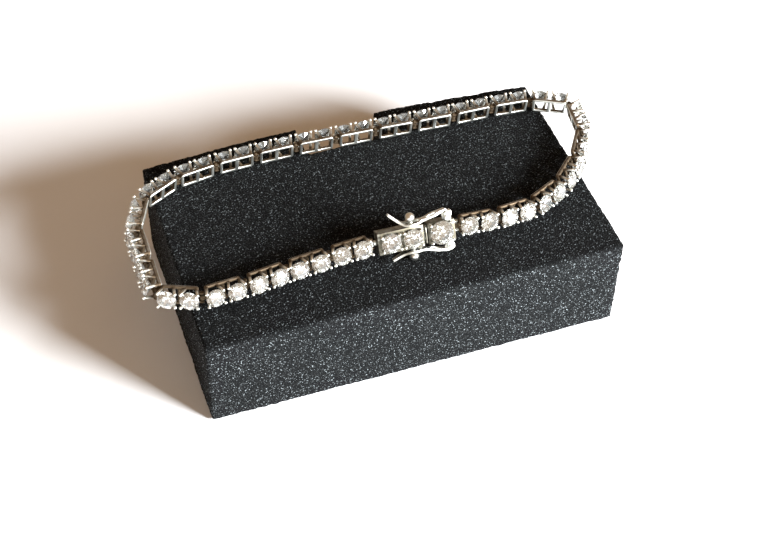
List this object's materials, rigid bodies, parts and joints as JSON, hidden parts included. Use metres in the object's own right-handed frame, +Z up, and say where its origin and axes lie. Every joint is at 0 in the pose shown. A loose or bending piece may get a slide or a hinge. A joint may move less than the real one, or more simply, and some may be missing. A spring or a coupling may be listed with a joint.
{
  "type": "tennis bracelet on a foam block",
  "caption": "Flexible line bracelet of double-stone claw links closed by a box clasp with two side safety catches, standing on its edge on a notched black foam block.",
  "frame": {"origin": "middle of the foam block's underside", "axes": "+Z up, +X along the foam block with the clasp's box end at lower X, +Y to the block's notched back edge, so the clasp faces -Y"},
  "size_m": [0.0781, 0.0409, 0.0246],
  "materials": {
    "silver": "polished silver, slightly tarnished in the recesses",
    "clear_stone": "clear faceted round brilliant",
    "black_foam": "open-cell charcoal foam with fine glinting cells"
  },
  "bodies": {
    "root": {"link_01": "silver", "link_02": "silver", "link_03": "silver", "link_04": "silver", "link_05": "silver", "link_06": "silver", "link_07": "silver", "link_08": "silver", "link_09": "silver", "link_10": "silver", "link_11": "silver", "link_12": "silver", "link_13": "silver", "link_14": "silver", "link_15": "silver", "link_16": "silver", "link_17": "silver", "link_18": "silver", "link_19": "silver", "link_20": "silver", "link_21": "silver", "link_22": "silver", "link_23": "silver", "link_24": "silver", "link_25": "silver", "stone_pair_01": "clear_stone", "stone_pair_02": "clear_stone", "stone_pair_03": "clear_stone", "stone_pair_04": "clear_stone", "stone_pair_05": "clear_stone", "stone_pair_06": "clear_stone", "stone_pair_07": "clear_stone", "stone_pair_08": "clear_stone", "stone_pair_09": "clear_stone", "stone_pair_10": "clear_stone", "stone_pair_11": "clear_stone", "stone_pair_12": "clear_stone", "stone_pair_13": "clear_stone", "stone_pair_14": "clear_stone", "stone_pair_15": "clear_stone", "stone_pair_16": "clear_stone", "stone_pair_17": "clear_stone", "stone_pair_18": "clear_stone", "stone_pair_19": "clear_stone", "stone_pair_20": "clear_stone", "stone_pair_21": "clear_stone", "stone_pair_22": "clear_stone", "stone_pair_23": "clear_stone", "stone_pair_24": "clear_stone", "stone_pair_25": "clear_stone", "clasp_box": "silver", "clasp_tongue_end": "silver", "clasp_box_stones": "clear_stone", "clasp_end_stone": "clear_stone", "foam_block": "black_foam"},
    "upper_catch": {"upper_safety_catch": "silver"},
    "lower_catch": {"lower_safety_catch": "silver"}
  },
  "joints": [
    {"name": "upper_catch_hinge", "type": "hinge", "parent": "root", "child": "upper_catch", "pos_m": [0.00705, -0.00995, 0.02287], "axis": [0.0209, 0.8908, -0.454], "range_deg": [0, 110]},
    {"name": "lower_catch_hinge", "type": "hinge", "parent": "root", "child": "lower_catch", "pos_m": [0.00699, -0.01231, 0.01823], "axis": [-0.0209, -0.8908, 0.454], "range_deg": [0, 3]}
  ]
}
